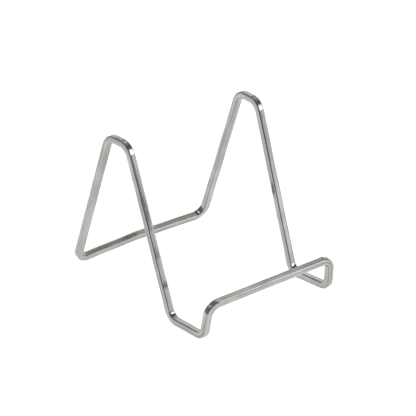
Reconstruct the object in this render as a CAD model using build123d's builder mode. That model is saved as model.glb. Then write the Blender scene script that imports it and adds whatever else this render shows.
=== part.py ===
from build123d import *
import os
from math import radians, tan

# A stand that holds one photo album open or upright. It is one square wire bent into a closed
# loop: two side frames, each an inverted V with a ledge and a lip in front, joined by a bar
# across the back feet and a bar across the lip. Millimetres; X runs across, -Y faces the
# viewer of the album, +Z is up, and the origin is on the floor under the middle of the stand.

# Wire
WIRE_SIDE = 5.3
WIRE_EDGE_RADIUS = 0.9

# Corner points of the wire's centreline on the right side frame; the two legs aim at APEX
REAR_CORNER = Vector(61.1, 77.695, 2.787)
APEX = Vector(60.8, 23.13, 154.37)
HEEL = Vector(57.6, -35.25, 2.135)
TOE = Vector(58.7, -74.42, 5.89)
LIP_CORNER = Vector(56.8, -77.84, 31.86)

# A short top member joins the legs below APEX, from one height on each leg to another
TOP_REAR_HEIGHT = 124.3
TOP_FRONT_HEIGHT = 124.7

# Radii of the centreline in the bends
REAR_CORNER_RADIUS = 9.0
TOP_REAR_RADIUS = 11.5
TOP_FRONT_RADIUS = 9.5
HEEL_RADIUS = 8.4
TOE_RADIUS = 7.6
LIP_CORNER_RADIUS = 8.6

# Butt weld that closes the loop near the middle of the rear bar, a little above its ends
WELD_OFFSET = -6.0
WELD_LENGTH = 4.0
WELD_SWELL = 0.3
WELD_RISE = 2.75


def mirrored(point):
    """Return the matching point of the left side frame."""
    return Vector(-point.X, point.Y, point.Z)


def point_on_leg(foot, height):
    """Return the point at a given height on the line from a leg's foot to the apex."""
    return foot + (APEX - foot) * ((height - foot.Z) / (APEX.Z - foot.Z))


def lay_out_bend(before, corner, after, radius):
    """Work out the arc that rounds one corner of the centreline."""
    heading_in = (corner - before).normalized()
    heading_out = (after - corner).normalized()
    turn = heading_in.get_angle(heading_out)
    setback = radius * tan(radians(turn / 2))
    normal = heading_in.cross(heading_out).normalized()
    start = corner - heading_in * setback
    return {
        "start": Plane(origin=start, x_dir=normal, z_dir=heading_in),
        "end": Plane(origin=corner + heading_out * setback, x_dir=normal, z_dir=heading_out),
        "axis": Axis(start + normal.cross(heading_in) * radius, normal),
        "turn": turn,
    }


def lined_up(plane, reference):
    """Turn a section plane by whole quarter turns to line up with the reference plane."""
    directions = [plane.x_dir, plane.y_dir, -plane.x_dir, -plane.y_dir]
    nearest = max(directions, key=lambda direction: direction.dot(reference.x_dir))
    return Plane(origin=plane.origin, x_dir=nearest, z_dir=plane.z_dir)


def flipped(plane):
    """Return the same section plane looking the other way."""
    return Plane(origin=plane.origin, x_dir=plane.x_dir, z_dir=-plane.z_dir)


def save(name, piece):
    """Label a finished piece and write its file."""
    piece.part.label = name
    export_step(piece.part, f"parts/{name}.step")


def make_bend(name, bend):
    """Turn the wire's section about the axis of one bend."""
    with BuildPart() as piece:
        with BuildSketch(bend["start"]):
            RectangleRounded(WIRE_SIDE, WIRE_SIDE, WIRE_EDGE_RADIUS)
        revolve(axis=bend["axis"], revolution_arc=bend["turn"])
    save(name, piece)


def make_straight(name, start, end):
    """Run the wire's section straight from the end of one bend to the start of the next."""
    with BuildPart() as piece:
        with BuildSketch(start):
            RectangleRounded(WIRE_SIDE, WIRE_SIDE, WIRE_EDGE_RADIUS)
        with BuildSketch(lined_up(end, start)):
            RectangleRounded(WIRE_SIDE, WIRE_SIDE, WIRE_EDGE_RADIUS)
        loft(ruled=True)
    save(name, piece)


def make_weld(name, left_face, middle, right_face):
    """Swell the section a little between the two wire ends that meet."""
    with BuildPart() as piece:
        with BuildSketch(left_face):
            RectangleRounded(WIRE_SIDE, WIRE_SIDE, WIRE_EDGE_RADIUS)
        with BuildSketch(middle):
            RectangleRounded(WIRE_SIDE + WELD_SWELL, WIRE_SIDE + WELD_SWELL, WIRE_EDGE_RADIUS)
        with BuildSketch(right_face):
            RectangleRounded(WIRE_SIDE, WIRE_SIDE, WIRE_EDGE_RADIUS)
        loft()
    save(name, piece)


def weld_centre():
    """Place the weld left of the middle and above the rear feet, in the back legs' slope."""
    foot = (REAR_CORNER + mirrored(REAR_CORNER)) * 0.5
    top = (APEX + mirrored(APEX)) * 0.5
    return foot + (top - foot).normalized() * WELD_RISE + Vector(WELD_OFFSET, 0, 0)


def make_side(side, corners, weld, weld_normal):
    """Make one side frame and its half of the rear bar, starting from the weld."""
    members = [
        ("rear_bar", "rear_corner_bend", REAR_CORNER_RADIUS),
        ("back_leg", "top_rear_bend", TOP_REAR_RADIUS),
        ("top_member", "top_front_bend", TOP_FRONT_RADIUS),
        ("front_leg", "heel_bend", HEEL_RADIUS),
        ("ledge_arm", "toe_bend", TOE_RADIUS),
        ("lip_upright", "lip_corner_bend", LIP_CORNER_RADIUS),
    ]
    path = [weld, *corners, mirrored(corners[-1])]
    heading = (corners[0] - weld).normalized()
    weld_face = Plane(origin=weld + heading * (WELD_LENGTH / 2), x_dir=weld_normal, z_dir=heading)
    reached = weld_face
    for index, (straight_name, bend_name, radius) in enumerate(members):
        bend = lay_out_bend(path[index], path[index + 1], path[index + 2], radius)
        make_straight(f"{straight_name}_{side}", reached, bend["start"])
        make_bend(f"{bend_name}_{side}", bend)
        reached = bend["end"]
    return weld_face, reached


def section_normal(weld):
    """Return the direction square to the rear bar and to the right back leg."""
    leg = (APEX - REAR_CORNER).normalized()
    return (REAR_CORNER - weld).cross(leg).normalized()


os.makedirs("parts", exist_ok=True)
top_rear = point_on_leg(REAR_CORNER, TOP_REAR_HEIGHT)
top_front = point_on_leg(HEEL, TOP_FRONT_HEIGHT)
right_corners = [REAR_CORNER, top_rear, top_front, HEEL, TOE, LIP_CORNER]
left_corners = [mirrored(corner) for corner in right_corners]
weld = weld_centre()
across = section_normal(weld)
weld_right, lip_right = make_side("right", right_corners, weld, across)
weld_left, lip_left = make_side("left", left_corners, weld, across)
make_straight("lip_bar", lip_right, flipped(lip_left))
make_weld("butt_weld", flipped(weld_left), Plane(weld, across, Vector(1, 0, 0)), weld_right)
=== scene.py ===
import math

import bpy
import numpy as np
from mathutils import Matrix, Quaternion, Vector


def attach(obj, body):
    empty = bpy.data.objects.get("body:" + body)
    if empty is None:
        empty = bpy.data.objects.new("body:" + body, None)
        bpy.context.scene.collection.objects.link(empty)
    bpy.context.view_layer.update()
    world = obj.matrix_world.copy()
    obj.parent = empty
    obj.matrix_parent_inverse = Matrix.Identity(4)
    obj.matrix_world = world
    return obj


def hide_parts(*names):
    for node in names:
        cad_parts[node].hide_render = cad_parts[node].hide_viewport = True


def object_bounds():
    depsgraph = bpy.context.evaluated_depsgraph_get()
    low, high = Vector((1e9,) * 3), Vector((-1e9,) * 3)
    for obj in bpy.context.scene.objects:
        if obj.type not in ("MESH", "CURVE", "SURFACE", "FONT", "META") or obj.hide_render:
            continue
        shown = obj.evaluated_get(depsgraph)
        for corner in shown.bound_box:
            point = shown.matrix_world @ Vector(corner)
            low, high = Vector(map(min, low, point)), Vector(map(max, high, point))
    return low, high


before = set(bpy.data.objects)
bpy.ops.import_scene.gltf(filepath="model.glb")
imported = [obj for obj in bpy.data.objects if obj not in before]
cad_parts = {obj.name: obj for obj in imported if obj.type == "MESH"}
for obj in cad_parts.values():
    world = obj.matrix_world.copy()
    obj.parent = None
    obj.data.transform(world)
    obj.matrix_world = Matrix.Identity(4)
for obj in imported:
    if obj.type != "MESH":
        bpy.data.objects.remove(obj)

# The stand is one square wire bent into a closed loop. Each CAD member of the wire is drawn again
# as a finer sweep between the same two end sections, with the crown of a drawn face, the spread
# and dishing of a bent section, and the dressed seam of the weld. Everything is in metres.

cad_low, cad_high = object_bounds()

# Wire
WIRE_SIDE = 0.0053
EDGE_RADIUS = 0.0009
FACE_CROWN = 0.00003
HALF = WIRE_SIDE / 2

# Sweep
STATION_STEP = 0.0012
BEND_STEP = math.radians(2.5)
EDGE_SEGMENTS = 7
FACE_SEGMENTS = 8
STRAIGHT_LIMIT = math.radians(1.5)

# How far the section gives in a bend, and over which share of the bend it builds up
SPREAD = 0.30
SPREAD_RAMP = 0.3

# Gentle waviness of the straight members, which fades out towards their ends
WAVE_HEIGHT = 0.00007
WAVE_LENGTH = 0.042
WAVE_FADE = 0.012

# Weld seam
SEAM_HEIGHT = 0.00011
SEAM_WIDTH = 0.00045
SWELL_HEIGHT = 0.00004
SEAM_WANDER = 0.0002

# Corner points of two neighbours closer than this are one point of the section they share
SAME_POINT = 0.000002

# Camera, round the middle of the stand
CAMERA_AZIMUTH = math.radians(-38.67)
CAMERA_ELEVATION = math.radians(27.99)
CAMERA_ROLL = math.radians(0.34)
CAMERA_DISTANCE = 1.794
CAMERA_LENS = 210.0
AIM_RIGHT = 0.0030
AIM_UP = -0.0034

SIDE_MEMBERS = [
    "rear_bar", "rear_corner_bend", "back_leg", "top_rear_bend", "top_member", "top_front_bend",
    "front_leg", "heel_bend", "ledge_arm", "toe_bend", "lip_upright", "lip_corner_bend",
]


def wire_order():
    """Name the members in the order in which the wire runs round the loop."""
    right = [f"{member}_right" for member in SIDE_MEMBERS]
    left = [f"{member}_left" for member in reversed(SIDE_MEMBERS)]
    return right + ["lip_bar"] + left + ["butt_weld"]


# ---------------------------------------------------------------- end sections

def points_of(node):
    """Return a CAD node's corner points, each once."""
    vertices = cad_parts[node].data.vertices
    rounded = {tuple(round(value, 7) for value in vertex.co) for vertex in vertices}
    return np.array(sorted(rounded))


def shared_section(before, after):
    """Read the section where two members meet: its centre, heading and two side directions."""
    here, there = points_of(before), points_of(after)
    gaps = np.linalg.norm(here[:, None] - there[None], axis=2).min(axis=1)
    ring = here[gaps < SAME_POINT]
    centre = ring.mean(axis=0)
    flat = WIRE_SIDE - 2 * EDGE_RADIUS
    steps = ring[:, None] - ring[None]
    lengths = np.linalg.norm(steps, axis=2)
    best = np.unravel_index(np.argmin(np.abs(lengths - flat)), lengths.shape)
    across = steps[best] / lengths[best]
    spread = ring - centre
    heading = np.linalg.svd(spread, full_matrices=False)[2][2]
    forward = there.mean(axis=0) - here.mean(axis=0)
    heading = heading if heading @ forward > 0 else -heading
    return Vector(centre), Vector(heading).normalized(), Vector(across).normalized()


def quarter_turned(across, heading, wanted):
    """Turn a side direction by whole quarter turns to lie nearest to the wanted direction."""
    upright = heading.cross(across)
    return max((across, upright, -across, -upright), key=lambda side: side.dot(wanted)).copy()


def read_sections():
    """Read every shared section round the loop, with side directions that run on smoothly."""
    order = wire_order()
    sections = []
    for index, before in enumerate(order):
        after = order[(index + 1) % len(order)]
        centre, heading, across = shared_section(before, after)
        if sections:
            turn = sections[-1][1].rotation_difference(heading)
            across = quarter_turned(across, heading, turn @ sections[-1][2])
        sections.append((centre, heading, across))
    return order, sections


# ---------------------------------------------------------------- sweep

def section_profile():
    """Draw the drawn wire's section: rounded edges and slightly crowned faces."""
    flat = HALF - EDGE_RADIUS
    points = []
    for quarter in range(4):
        turn = quarter * math.pi / 2
        side = [(HALF, flat * (2 * step / FACE_SEGMENTS - 1)) for step in range(FACE_SEGMENTS)]
        for step in range(EDGE_SEGMENTS):
            angle = step / EDGE_SEGMENTS * math.pi / 2
            side.append((flat + EDGE_RADIUS * math.cos(angle), flat + EDGE_RADIUS * math.sin(angle)))
        for p, q in side:
            x = p * math.cos(turn) - q * math.sin(turn)
            y = p * math.sin(turn) + q * math.cos(turn)
            points.append((x, y))
    profile = np.array(points)
    crown = FACE_CROWN / HALF
    return profile * (1 - crown * (profile[:, ::-1] / HALF) ** 2)


def smooth(value):
    """Ease from 0 to 1."""
    value = np.clip(value, 0, 1)
    return value * value * (3 - 2 * value)


def stations(start, end):
    """Place the sections between two end sections: centres, headings, sides and bend facts."""
    (c0, h0, x0), (c1, h1, x1) = start, end
    angle = h0.angle(h1)
    if angle < STRAIGHT_LIMIT:
        count = max(2, math.ceil((c1 - c0).length / STATION_STEP))
        axis, radius, length = None, None, (c1 - c0).length
    else:
        axis = h0.cross(h1).normalized()
        radius = (c1 - c0).length / (2 * math.sin(angle / 2))
        length = radius * angle
        count = max(math.ceil(angle / BEND_STEP), math.ceil(length / STATION_STEP))
    rows = []
    carried = h0.rotation_difference(h1) @ x0
    target = quarter_turned(x1, h1, carried)
    twist = math.atan2(carried.cross(target).dot(h1), carried.dot(target))
    for step in range(count + 1):
        share = step / count
        if axis is None:
            centre, heading, side = c0.lerp(c1, share), (c1 - c0).normalized(), x0.copy()
        else:
            turn = Quaternion(axis, share * angle)
            hub = c0 + axis.cross(h0) * radius
            centre, heading, side = hub + turn @ (c0 - hub), turn @ h0, turn @ x0
        side = Quaternion(heading, share * twist) @ side
        side = (side - heading * side.dot(heading)).normalized()
        rows.append((np.array(centre), np.array(heading), np.array(side), share))
    return rows, axis, radius, length


def bend_section(local, across, upright, axis, heading, radius, amount):
    """Spread the inside of a bent section, draw in its outside and dish its faces."""
    lateral = np.array([axis @ across, axis @ upright])
    outward = np.cross(heading, axis)
    radial = np.array([outward @ across, outward @ upright])
    width, depth = local @ lateral, local @ radial
    spread = -SPREAD * width * depth / radius
    dish = SPREAD * (width**2 - HALF**2 / 2) / (2 * radius)
    return local + amount * (spread[:, None] * lateral + dish[:, None] * radial)


def wave(along, length, phase):
    """Return the small sideways wander of a straight member, still at its ends."""
    ends = smooth(along / WAVE_FADE) * smooth((length - along) / WAVE_FADE)
    return WAVE_HEIGHT * ends * math.sin(2 * math.pi * along / WAVE_LENGTH + phase)


def seam(local, along, length, phase):
    """Raise the dressed seam and the heat swell of the weld, uneven round the wire."""
    offset = along - length / 2
    swell = SWELL_HEIGHT * math.cos(math.pi * offset / length) ** 2
    around = np.arctan2(local[:, 1], local[:, 0])
    uneven = 1 + 0.25 * np.sin(3 * around + phase) + 0.15 * np.sin(7 * around + 2 * phase)
    line = offset - SEAM_WANDER * np.sin(2 * around + phase)
    ridge = SEAM_HEIGHT * uneven * np.exp(-((line / SEAM_WIDTH) ** 2))
    reach = np.linalg.norm(local, axis=1, keepdims=True)
    return local * (1 + (swell + ridge)[:, None] / reach)


def sweep_member(node, start, end, travelled, phase):
    """Return the swept points and normals of one member, with each point's place and strain."""
    rows, axis, radius, length = stations(start, end)
    profile = section_profile()
    points, coordinates, headings, strains = [], [], [], []
    for centre, heading, across, share in rows:
        upright = np.cross(heading, across)
        local, strain = profile, np.zeros(len(profile))
        along = share * length
        if node == "butt_weld":
            local = seam(profile, along, length, phase)
        elif axis is not None:
            build = smooth(share / SPREAD_RAMP) * smooth((1 - share) / SPREAD_RAMP)
            local = bend_section(local, across, upright, np.array(axis), heading, radius, build)
            outward = np.cross(heading, axis)
            depth = profile @ np.array([outward @ across, outward @ upright])
            strain = build * np.maximum(depth, 0) / radius
        else:
            # The section draws in by as much as it wanders, so the wire stays in its CAD outline
            drift = np.array([wave(along, length, phase), wave(along, length, 1.7 * phase + 1)])
            local = profile * (1 - np.abs(drift).max() / HALF) + drift
        points.append(centre + local[:, :1] * across + local[:, 1:] * upright)
        coordinates.append(np.column_stack([np.full(len(local), travelled + along), profile]))
        headings.append(heading)
        strains.append(strain)
    points = np.array(points)
    round_the_wire = np.roll(points, -1, axis=1) - np.roll(points, 1, axis=1)
    down_the_wire = np.gradient(points, axis=0)
    down_the_wire[0], down_the_wire[-1] = headings[0], headings[-1]
    normals = np.cross(round_the_wire, down_the_wire)
    normals /= np.linalg.norm(normals, axis=2, keepdims=True)
    outward = points - points.mean(axis=1, keepdims=True)
    if (normals * outward).sum() < 0:
        normals = -normals
    return points, normals, np.array(coordinates), np.array(strains), headings, length


def build_member(node, start, end, travelled, phase, material):
    """Make one member's mesh: skin, two end faces, normals and the wire coordinates."""
    swept = sweep_member(node, start, end, travelled, phase)
    points, normals, coordinates, strains, headings, length = swept
    rows, columns = points.shape[:2]
    faces = []
    for row in range(rows - 1):
        for column in range(columns):
            after = (column + 1) % columns
            here, there = row * columns, (row + 1) * columns
            faces.append((here + column, here + after, there + after, there + column))
    faces.append(tuple(reversed(range(columns))))
    faces.append(tuple((rows - 1) * columns + column for column in range(columns)))
    mesh = bpy.data.meshes.new(node + "_wire")
    mesh.from_pydata(points.reshape(-1, 3).tolist(), [], faces)
    attribute = mesh.attributes.new("wire_coord", "FLOAT_VECTOR", "POINT")
    attribute.data.foreach_set("vector", coordinates.reshape(-1).astype(np.float32))
    attribute = mesh.attributes.new("wire_strain", "FLOAT", "POINT")
    attribute.data.foreach_set("value", strains.reshape(-1).astype(np.float32))
    mesh.shade_smooth()
    flat_normals = normals.reshape(-1, 3)
    loops = [flat_normals[loop.vertex_index] for loop in mesh.loops]
    for cap, direction in ((mesh.polygons[-2], -headings[0]), (mesh.polygons[-1], headings[-1])):
        for loop in cap.loop_indices:
            loops[loop] = direction
    mesh.normals_split_custom_set([tuple(normal) for normal in loops])
    mesh.materials.append(material)
    member = bpy.data.objects.new(node + "_wire", mesh)
    bpy.context.scene.collection.objects.link(member)
    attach(member, "root")
    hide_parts(node)
    return length


# ---------------------------------------------------------------- materials

class Shader:
    """A short way to add and join the nodes of one material."""

    def __init__(self, name):
        self.material = bpy.data.materials.new(name)
        self.material.use_nodes = True
        self.tree = self.material.node_tree
        self.surface = self.tree.nodes["Principled BSDF"]

    def add(self, kind, inputs=(), **settings):
        """Add a node, set its properties, and link or set its inputs."""
        node = self.tree.nodes.new(kind)
        for key, value in settings.items():
            setattr(node, key, value)
        for socket, value in dict(inputs).items():
            self.put(node.inputs[socket], value)
        return node

    def put(self, socket, value):
        """Link an output to a socket, or set the socket's own value."""
        if isinstance(value, bpy.types.NodeSocket):
            self.tree.links.new(value, socket)
        else:
            socket.default_value = value

    def math(self, operation, first, second=0.0):
        """Add one maths node."""
        return self.add("ShaderNodeMath", {0: first, 1: second}, operation=operation).outputs[0]

    def noise(self, place, scale, detail, stretch=(1, 1, 1)):
        """Add a noise field in metres, stretched along an axis where asked."""
        mapped = self.add("ShaderNodeMapping", {"Vector": place, "Scale": stretch}).outputs[0]
        inputs = {"Vector": mapped, "Scale": scale, "Detail": detail}
        return self.add("ShaderNodeTexNoise", inputs).outputs[0]

    def ramp(self, value, low, high, start, end):
        """Map a value from one range to another, eased and held at its ends."""
        inputs = {"Value": value, "From Min": low, "From Max": high, "To Min": start, "To Max": end}
        node = self.add("ShaderNodeMapRange", inputs, interpolation_type="SMOOTHSTEP")
        return node.outputs[0]

    def mix(self, factor, first, second):
        """Mix two colours."""
        node = self.add("ShaderNodeMix", data_type="RGBA")
        self.put(node.inputs[0], factor)
        self.put(node.inputs[6], first)
        self.put(node.inputs[7], second)
        return node.outputs[2]


# Tones of the plate: body, painted shade along the rounded edges, dull draw lines and broad darker streaks
NICKEL_DEEP = (0.430, 0.424, 0.412, 1)
NICKEL_CLEAR = (0.520, 0.517, 0.510, 1)
NICKEL_EDGE_SHADE = (0.310, 0.308, 0.302, 1)
NICKEL_DULL = (0.290, 0.282, 0.270, 1)
NICKEL_STREAK = (0.190, 0.183, 0.172, 1)

# How often features change per metre; streaks and lines along, across and up the wire
STREAK_STRETCH = (9, 800, 800)
DRAWN_STRETCH = (35, 5200, 5200)
DRESSED_STRETCH = (5200, 260, 260)
MOTTLE_SCALE = 62.0
BLOOM_SCALE = 420.0
PEEL_SCALE = 1500.0
PIT_SCALE = 520.0

# Share of the half side where the rounded edge starts and where it is fully edge
EDGE_START = 0.70
EDGE_FULL = 0.86

# Relief of the finish: bump strength and depth, and the grain of plain and dressed wire
BUMP_STRENGTH = 0.15
BUMP_DEPTH = 0.00002
DRAWN_GRAIN = 0.25
DRESSED_GRAIN = 0.7


def plated_wire(name, line_stretch, grain):
    """Polished nickel plate over drawn wire: lines, streaks, mottle, painted shade on the edges, pits,
    grain.
    """
    shade = Shader(name)
    place = shade.add("ShaderNodeTexCoord").outputs["Object"]
    wire = shade.add("ShaderNodeAttribute", attribute_name="wire_coord").outputs["Vector"]
    strain = shade.add("ShaderNodeAttribute", attribute_name="wire_strain").outputs["Fac"]
    parts = shade.add("ShaderNodeSeparateXYZ", {0: wire})
    across = shade.math("ABSOLUTE", parts.outputs[1])
    upright = shade.math("ABSOLUTE", parts.outputs[2])
    edge = shade.ramp(shade.math("MINIMUM", across, upright), EDGE_START * HALF, EDGE_FULL * HALF, 0, 1)

    draw_lines = shade.noise(wire, 1.0, 3.0, line_stretch)
    streaks = shade.noise(wire, 1.0, 2.0, STREAK_STRETCH)
    mottle = shade.noise(place, MOTTLE_SCALE, 4.0)
    bloom = shade.noise(place, BLOOM_SCALE, 3.0)
    peel = shade.noise(place, PEEL_SCALE, 2.0)
    pits = shade.add("ShaderNodeTexVoronoi", {"Vector": place, "Scale": PIT_SCALE}).outputs["Distance"]
    pit = shade.ramp(pits, 0.05, 0.12, 1, 0)

    body = shade.mix(shade.ramp(mottle, 0.35, 0.65, 0, 1), NICKEL_DEEP, NICKEL_CLEAR)
    lined = shade.mix(shade.ramp(draw_lines, 0.30, 0.75, 0.22, 0), body, NICKEL_DULL)
    streaked = shade.mix(shade.ramp(streaks, 0.42, 0.64, 0, 0.6), lined, NICKEL_STREAK)
    spotted = shade.mix(shade.math("MULTIPLY", pit, 0.35), streaked, NICKEL_DULL)
    # The rounded edges are painted darker: painted shade that stands in for the dark line they reflect, made
    # uneven by the bloom noise
    painted_edge_shade = shade.math("MULTIPLY", edge, shade.ramp(bloom, 0.35, 0.6, 0.25, 0.45))
    shade.put(shade.surface.inputs["Base Color"], shade.mix(painted_edge_shade, spotted, NICKEL_EDGE_SHADE))
    shade.surface.inputs["Metallic"].default_value = 1.0

    dull = shade.math("ADD", shade.ramp(bloom, 0.3, 0.7, 0.07, 0.13), shade.math("MULTIPLY", pit, 0.12))
    dull = shade.math("ADD", dull, shade.ramp(draw_lines, 0.3, 0.7, 0.05, 0))
    dull = shade.math("ADD", dull, shade.math("MULTIPLY", strain, 0.25))
    dull = shade.math("ADD", dull, shade.math("MULTIPLY", edge, 0.04))
    shade.put(shade.surface.inputs["Roughness"], dull)

    relief = shade.math("MULTIPLY", draw_lines, 0.5)
    orange_peel = shade.math("MULTIPLY", peel, shade.ramp(strain, 0.0, 0.25, grain, 0.9))
    relief = shade.math("ADD", relief, orange_peel)
    relief = shade.math("SUBTRACT", relief, shade.math("MULTIPLY", pit, 0.25))
    bump = shade.add("ShaderNodeBump", {"Height": relief, "Strength": BUMP_STRENGTH, "Distance": BUMP_DEPTH})
    shade.put(shade.surface.inputs["Normal"], bump.outputs[0])
    return shade.material


def pale_floor():
    """A plain white floor, too bright for a shadow, that darkens beyond the picture."""
    shade = Shader("pale_floor")
    shade.surface.inputs["Roughness"].default_value = 0.9
    shade.surface.inputs["Specular IOR Level"].default_value = 0.1
    shade.surface.inputs["Emission Color"].default_value = (1, 1, 1, 1)
    place = shade.add("ShaderNodeTexCoord").outputs["Object"]
    away = shade.add("ShaderNodeVectorMath", {0: place}, operation="LENGTH").outputs["Value"]
    far = shade.ramp(away, FLOOR_WHITE_REACH, FLOOR_DARK_REACH, 0, 1)
    shade.put(shade.surface.inputs["Base Color"], shade.mix(far, FLOOR_NEAR, FLOOR_FAR))
    glow = shade.ramp(away, FLOOR_WHITE_REACH, FLOOR_DARK_REACH, FLOOR_GLOW_NEAR, FLOOR_GLOW_FAR)
    shade.put(shade.surface.inputs["Emission Strength"], glow)
    return shade.material


# ---------------------------------------------------------------- studio

# Floor: it is white up to one distance from the middle and dark beyond the next
FLOOR_REACH = 9.0
FLOOR_GAP = 0.00005
FLOOR_WHITE_REACH = 0.50
FLOOR_DARK_REACH = 0.85
FLOOR_GLOW_NEAR = 0.79
FLOOR_GLOW_FAR = 0.15
FLOOR_NEAR = (0.86, 0.86, 0.86, 1)
FLOOR_FAR = (0.25, 0.25, 0.26, 1)

# Tones of the room from the floor's edge up to the ceiling
ROOM_HORIZON = (0.265, 0.272, 0.293, 1)
ROOM_MIDDLE = (0.29, 0.29, 0.29, 1)
ROOM_CEILING = (0.20, 0.193, 0.180, 1)
ROOM_MIDDLE_HEIGHT = 0.35
ROOM_CEILING_HEIGHT = 0.75

# Soft panels round the stand: direction, distance, width, height, brightness and tint
PANELS = {
    "white_sweep": ((0.55, 0.79, 0.27), 2.6, 3.0, 1.1, 0.92, (1.0, 1.0, 1.0)),
    "upper_sweep": ((0.22, 0.60, 0.76), 2.6, 2.6, 0.85, 0.56, (1.0, 1.0, 0.99)),
    "ceiling_glow": ((0.55, 0.25, 0.79), 2.6, 1.4, 0.75, 0.42, (1.0, 0.95, 0.88)),
    "soft_box": ((0.55, -0.68, 0.48), 2.4, 0.8, 1.25, 2.8, (1.0, 1.0, 0.99)),
    "window": ((0.66, -0.73, 0.15), 2.8, 0.85, 0.8, 1.05, (0.86, 0.93, 1.0)),
    "low_card": ((0.436, -0.90, 0.03), 0.9, 0.22, 0.16, 0.85, (0.90, 0.95, 1.0)),
    "top_card": ((-0.30, 0.20, 0.93), 2.4, 0.5, 0.5, 2.0, (1.0, 1.0, 1.0)),
    "left_card": ((-0.45, 0.58, 0.68), 2.4, 1.2, 0.55, 0.70, (1.0, 0.98, 0.95)),
    "side_fill": ((-0.93, 0.10, 0.35), 2.4, 0.7, 0.7, 0.40, (1.0, 1.0, 1.0)),
}


def add_floor():
    """Lay the floor just under the lowest point of the stand."""
    height = cad_low.z - FLOOR_GAP
    corners = [(-FLOOR_REACH, -FLOOR_REACH, height), (FLOOR_REACH, -FLOOR_REACH, height),
               (FLOOR_REACH, FLOOR_REACH, height), (-FLOOR_REACH, FLOOR_REACH, height)]
    mesh = bpy.data.meshes.new("floor")
    mesh.from_pydata(corners, [], [(0, 1, 2, 3)])
    mesh.materials.append(pale_floor())
    floor = bpy.data.objects.new("floor", mesh)
    bpy.context.scene.collection.objects.link(floor)


def add_room():
    """Surround the stand with a dim room that grows lighter towards its ceiling."""
    world = bpy.data.worlds.new("room")
    world.use_nodes = True
    tree = world.node_tree
    direction = tree.nodes.new("ShaderNodeTexCoord").outputs["Generated"]
    parts = tree.nodes.new("ShaderNodeSeparateXYZ")
    ramp = tree.nodes.new("ShaderNodeValToRGB")
    ramp.color_ramp.interpolation = "EASE"
    ramp.color_ramp.elements[0].color = ROOM_HORIZON
    ramp.color_ramp.elements[1].position = ROOM_CEILING_HEIGHT
    ramp.color_ramp.elements[1].color = ROOM_CEILING
    ramp.color_ramp.elements.new(ROOM_MIDDLE_HEIGHT).color = ROOM_MIDDLE
    tree.links.new(direction, parts.inputs[0])
    tree.links.new(parts.outputs["Z"], ramp.inputs[0])
    tree.links.new(ramp.outputs[0], tree.nodes["Background"].inputs["Color"])
    bpy.context.scene.world = world


def add_panel(name, direction, distance, width, height, brightness, tint):
    """Hang one soft panel light that faces the stand from a direction, as bright as asked."""
    light = bpy.data.lights.new(name, "AREA")
    light.shape = "RECTANGLE"
    light.size, light.size_y = width, height
    light.energy = brightness * math.pi * width * height
    light.color = tint
    panel = bpy.data.objects.new(name, light)
    away = Vector(direction).normalized()
    middle = (cad_low + cad_high) / 2
    turn = away.to_track_quat("Z", "Y").to_matrix().to_4x4()
    panel.matrix_world = Matrix.Translation(middle + away * distance) @ turn
    bpy.context.scene.collection.objects.link(panel)


def add_lights():
    """Hang every panel: sweeps behind, cards above, a soft box and a window in front."""
    for name, panel in PANELS.items():
        add_panel(name, *panel)


def add_camera():
    """Look at the stand from front left and above."""
    back = Vector((
        math.sin(CAMERA_AZIMUTH) * math.cos(CAMERA_ELEVATION),
        -math.cos(CAMERA_AZIMUTH) * math.cos(CAMERA_ELEVATION),
        math.sin(CAMERA_ELEVATION),
    ))
    level = Vector((0, 0, 1)).cross(back).normalized()
    roll = Quaternion(back, CAMERA_ROLL)
    right, up = roll @ level, roll @ back.cross(level)
    place = (cad_low + cad_high) / 2 + back * CAMERA_DISTANCE + right * AIM_RIGHT + up * AIM_UP
    data = bpy.data.cameras.new("camera")
    data.lens, data.sensor_width, data.clip_end = CAMERA_LENS, 36.0, 50.0
    camera = bpy.data.objects.new("camera", data)
    turn = Matrix((right, up, back)).transposed()
    camera.matrix_world = Matrix.Translation(place) @ turn.to_4x4()
    bpy.context.scene.collection.objects.link(camera)
    bpy.context.scene.camera = camera


# ---------------------------------------------------------------- the scene

def build_wire():
    """Draw every member round the loop, carrying the length travelled from one to the next."""
    bright = plated_wire("polished_nickel_wire", DRAWN_STRETCH, DRAWN_GRAIN)
    dressed = plated_wire("dressed_weld_nickel", DRESSED_STRETCH, DRESSED_GRAIN)
    order, sections = read_sections()
    travelled = 0.0
    for index, node in enumerate(order):
        material = dressed if node == "butt_weld" else bright
        start, end = sections[index - 1], sections[index]
        travelled += build_member(node, start, end, travelled, 0.9 * index, material)


add_camera()
add_room()
add_floor()
add_lights()
build_wire()
bpy.context.scene.view_settings.view_transform = "Standard"
